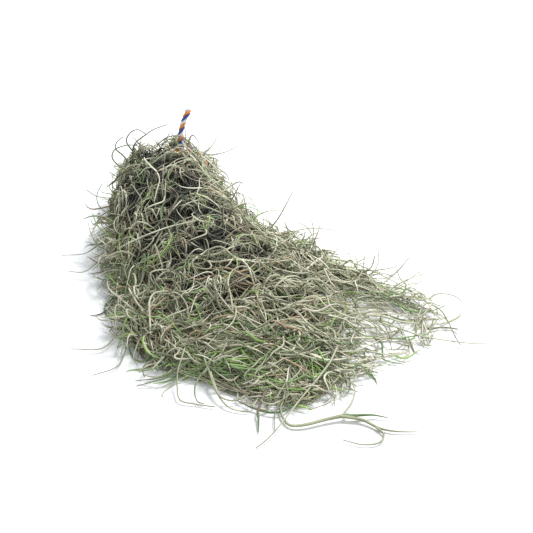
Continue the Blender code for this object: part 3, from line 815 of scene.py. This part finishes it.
hankDetail = {
    "stems": (215, 215, 200),
    "curls": (2900, 2900, 2700),
    "crown": 110,
    "wisps": 240,
    "endWisps": 120,
    "looseShare": 0.08,
    "thinning": 0.82,  # how much sparser the moss is at the right of its loose ends
}
mossSkin = makeMossMaterial()
innerShadeSkin = makeInnerShadeMaterial()
tubeTree = makeTubeTree(3)
for hank in range(3):
    draw = np.random.default_rng(900 + hank)
    stems = stemBatch(draw, hank)
    batches = [stems, stemLeaves(draw, stems), *loneBatches(hank)]
    stemMesh = strandMesh(f"leafyStems{hank + 1}", batches, tubeTree)
    addPiece(stemMesh, mossSkin, f"moss_hank_{hank + 1}")
    batches = [coverCurls(draw, hank), crownCurls(draw, hank), endWisps(draw, hank)]
    if hank != 1:
        batches.append(fringeWisps(draw, hank))
    curlMesh = strandMesh(f"outerCurls{hank + 1}", batches, tubeTree)
    addPiece(curlMesh, mossSkin)
    # the hank's dark inner mass, painted shade
    addPiece(heartMesh(hank), innerShadeSkin)
    print("hank", hank + 1, "triangles", [sum(len(p.vertices) - 2 for p in m.polygons)
                                          for m in (stemMesh, curlMesh)])


def makeYarnMaterial():
    # polypropylene yarn in orange, blue and white: fine glossy filaments that run aslant
    # along each strand
    made, tree, shader = newMaterial("polypropyleneYarn")
    tint = addNode(tree, "ShaderNodeAttribute", attribute_name="tint")
    along = addNode(tree, "ShaderNodeAttribute", attribute_name="along")
    around = addNode(tree, "ShaderNodeAttribute", attribute_name="around")
    body = addNode(tree, "ShaderNodeValToRGB", links={"Fac": tint.outputs["Fac"]})
    body.color_ramp.interpolation = "CONSTANT"
    setRamp(body, [(0.0, "#ff972b"), (0.34, "#2a4fae"), (0.67, "#ffffff")])
    spiral = addNode(tree, "ShaderNodeMath", {0: 14.0}, {1: along.outputs["Fac"]},
                     operation="MULTIPLY")
    turned = addNode(tree, "ShaderNodeMath", {}, {0: spiral.outputs[0], 1: around.outputs["Fac"]},
                     operation="ADD")
    place = addNode(tree, "ShaderNodeCombineXYZ", {}, {"X": turned.outputs[0]})
    filaments = addNode(tree, "ShaderNodeTexWave", {"Scale": 2.6, "Distortion": 0.8,
                                                    "Detail": 2.0, "Detail Scale": 4.0},
                        {"Vector": place.outputs[0]}, bands_direction="X")
    shade = addNode(tree, "ShaderNodeMix", {"B": srgb("#9a9aa2")},
                    {"A": body.outputs["Color"]}, data_type="RGBA", blend_type="MULTIPLY")
    amount = addNode(tree, "ShaderNodeMapRange", {"From Min": 0.9, "From Max": 0.1,
                                                  "To Max": 0.45},
                     {"Value": filaments.outputs["Fac"]})
    tree.links.new(amount.outputs["Result"], shade.inputs["Factor"])
    tree.links.new(shade.outputs["Result"], shader.inputs["Base Color"])
    bump = addNode(tree, "ShaderNodeBump", {"Strength": 0.6, "Distance": 0.0002},
                   {"Height": filaments.outputs["Fac"]})
    tree.links.new(bump.outputs["Normal"], shader.inputs["Normal"])
    shader.inputs["Roughness"].default_value = 0.42
    return made


def ropeStrands(route, turns, offsets, closed=False):
    # three centre lines wound round a route, each with its own distance from it
    count = len(route)
    tangents, sides, side = [], [], Vector((0, 1, 0))
    for k in range(count):
        before = route[k - 1] if k or closed else route[0]
        after = route[(k + 1) % count] if k < count - 1 or closed else route[-1]
        tangent = (after - before).normalized()
        side = side - tangent * side.dot(tangent)
        side = side.normalized()
        tangents.append(tangent)
        sides.append(side.copy())
    lines = []
    for strand in range(3):
        line = []
        for k, point in enumerate(route):
            angle = 2 * math.pi * (turns * k / (count if closed else count - 1) + strand / 3)
            other = tangents[k].cross(sides[k])
            spoke = sides[k] * math.cos(angle) + other * math.sin(angle)
            line.append(point + spoke * offsets[strand][k])
        lines.append(line + line[:1] if closed else line)
    return np.array(lines)


yarnSkin = makeYarnMaterial()
yarnTree = makeTubeTree(10)
yarnTints = np.array((0.1, 0.5, 0.9))

# the free end, splayed a little where it is cut, with one fine frayed thread
freeEnd = smoothLine(freeEndRoute, 12)
share = np.linspace(0, 1, len(freeEnd))
splay = np.clip((share - 0.8) / 0.2, 0, 1) ** 2 * mm
offset = ropeForm["strandOffset"]
offsets = [offset + splay * 0.4, offset + splay * 2.2, offset + splay * 0.6]
freeLength = sum((b - a).length for a, b in zip(freeEnd, freeEnd[1:]))
freeLines = ropeStrands(freeEnd, freeLength / ropeForm["lay"], offsets)
freeGirths = np.full(freeLines.shape[:2], ropeForm["strandRadius"])
freeGirths[:, -3:] *= np.array((0.96, 0.85, 0.62))
threadStart = freeEnd[-1] + Vector((0.6, 0.3, -0.2)) * mm
thread = np.array([[threadStart + Vector((u * 12, u * 3, 1.2 * math.sin(2.2 * u))) * mm
                    for u in np.linspace(0, 1, 12)]])
threadGirths = np.full(thread.shape[:2], 0.16 * mm)
threadMesh = strandMesh("frayedThread", [(thread, threadGirths, yarnTints[1:2])], yarnTree)
threadPiece = addPiece(threadMesh, yarnSkin)
freeMesh = strandMesh("ropeFreeEnd", [(freeLines, freeGirths, yarnTints)], yarnTree)
freePiece = addPiece(freeMesh, yarnSkin, "tie_end")
print("rope's free end", round(freeLength * 1000, 1), "mm long")

# the turn round the gathered stems and its small overhand knot
radius = ropeForm["loopRadius"]
around = [Vector((radius * math.cos(a), tieY, bunchForm["neckHeight"] + radius * math.sin(a)))
          for a in np.linspace(0, 2 * math.pi, 121)[:-1]]
steady = np.full((3, len(around)), offset)
loopLines = ropeStrands(around, round(2 * math.pi * radius / ropeForm["lay"]), steady, True)
knotMiddle = Vector((0, tieY, ropeForm["knotHeight"]))
knotLine = [
    knotMiddle + ropeForm["knotSize"] * Vector((
        math.sin(a) + 1.5 * math.sin(2 * a),
        math.cos(a) - 1.5 * math.cos(2 * a),
        -1.1 * math.sin(3 * a),
    ))
    for a in np.linspace(0, 2 * math.pi, 73)[:-1]
]
knotOffsets = np.full((3, len(knotLine)), ropeForm["knotStrandOffset"])
knotLines = ropeStrands(knotLine, 4, knotOffsets, True)
loopMesh = strandMesh("ropeTurnAndKnot", [
    (loopLines, np.full(loopLines.shape[:2], ropeForm["strandRadius"]), yarnTints),
    (knotLines, np.full(knotLines.shape[:2], ropeForm["knotStrandRadius"]), yarnTints),
], yarnTree)
addPiece(loopMesh, yarnSkin, "tie_loop")
print("rope turn and knot")

# table and light
stageForm = {"size": 6.0, "colour": "#f4f6f8"}
floorMesh = bmesh.new()
bmesh.ops.create_grid(floorMesh, x_segments=1, y_segments=1, size=stageForm["size"])
tableMesh = bpy.data.meshes.new("tableTop")
floorMesh.to_mesh(tableMesh)
floorMesh.free()
tableTop = showObject(bpy.data.objects.new("tableTop", tableMesh))
paper, tree, shader = newMaterial("mattWhiteBoard")
shader.inputs["Base Color"].default_value = srgb(stageForm["colour"])
shader.inputs["Roughness"].default_value = 0.9
shader.inputs["Specular IOR Level"].default_value = 0.1
tableMesh.materials.append(paper)

lamps = {
    # name: place, size, power, colour
    "bigSoftbox": ((0.9, 0.5, 1.6), 0.7, 44, "#ffffff"),
    "frontFill": ((0.5, -1.4, 1.1), 1.2, 8, "#fffaf2"),
}
for name, (place, size, power, colour) in lamps.items():
    data = bpy.data.lights.new(name, "AREA")
    data.size, data.energy, data.color = size, power, srgb(colour)[:3]
    lamp = showObject(bpy.data.objects.new(name, data))
    lamp.location = place
    lamp.rotation_euler = (Vector((0, 0, 0)) - Vector(place)).to_track_quat("-Z", "Y").to_euler()
world = bpy.data.worlds.new("whiteStudio")
bpy.context.scene.world = world
world.use_nodes = True
sky = world.node_tree.nodes["Background"]
sky.inputs["Color"].default_value = srgb("#f3f6fa")
sky.inputs["Strength"].default_value = 0.55
bpy.context.scene.view_settings.view_transform = "Standard"
print("table and light")
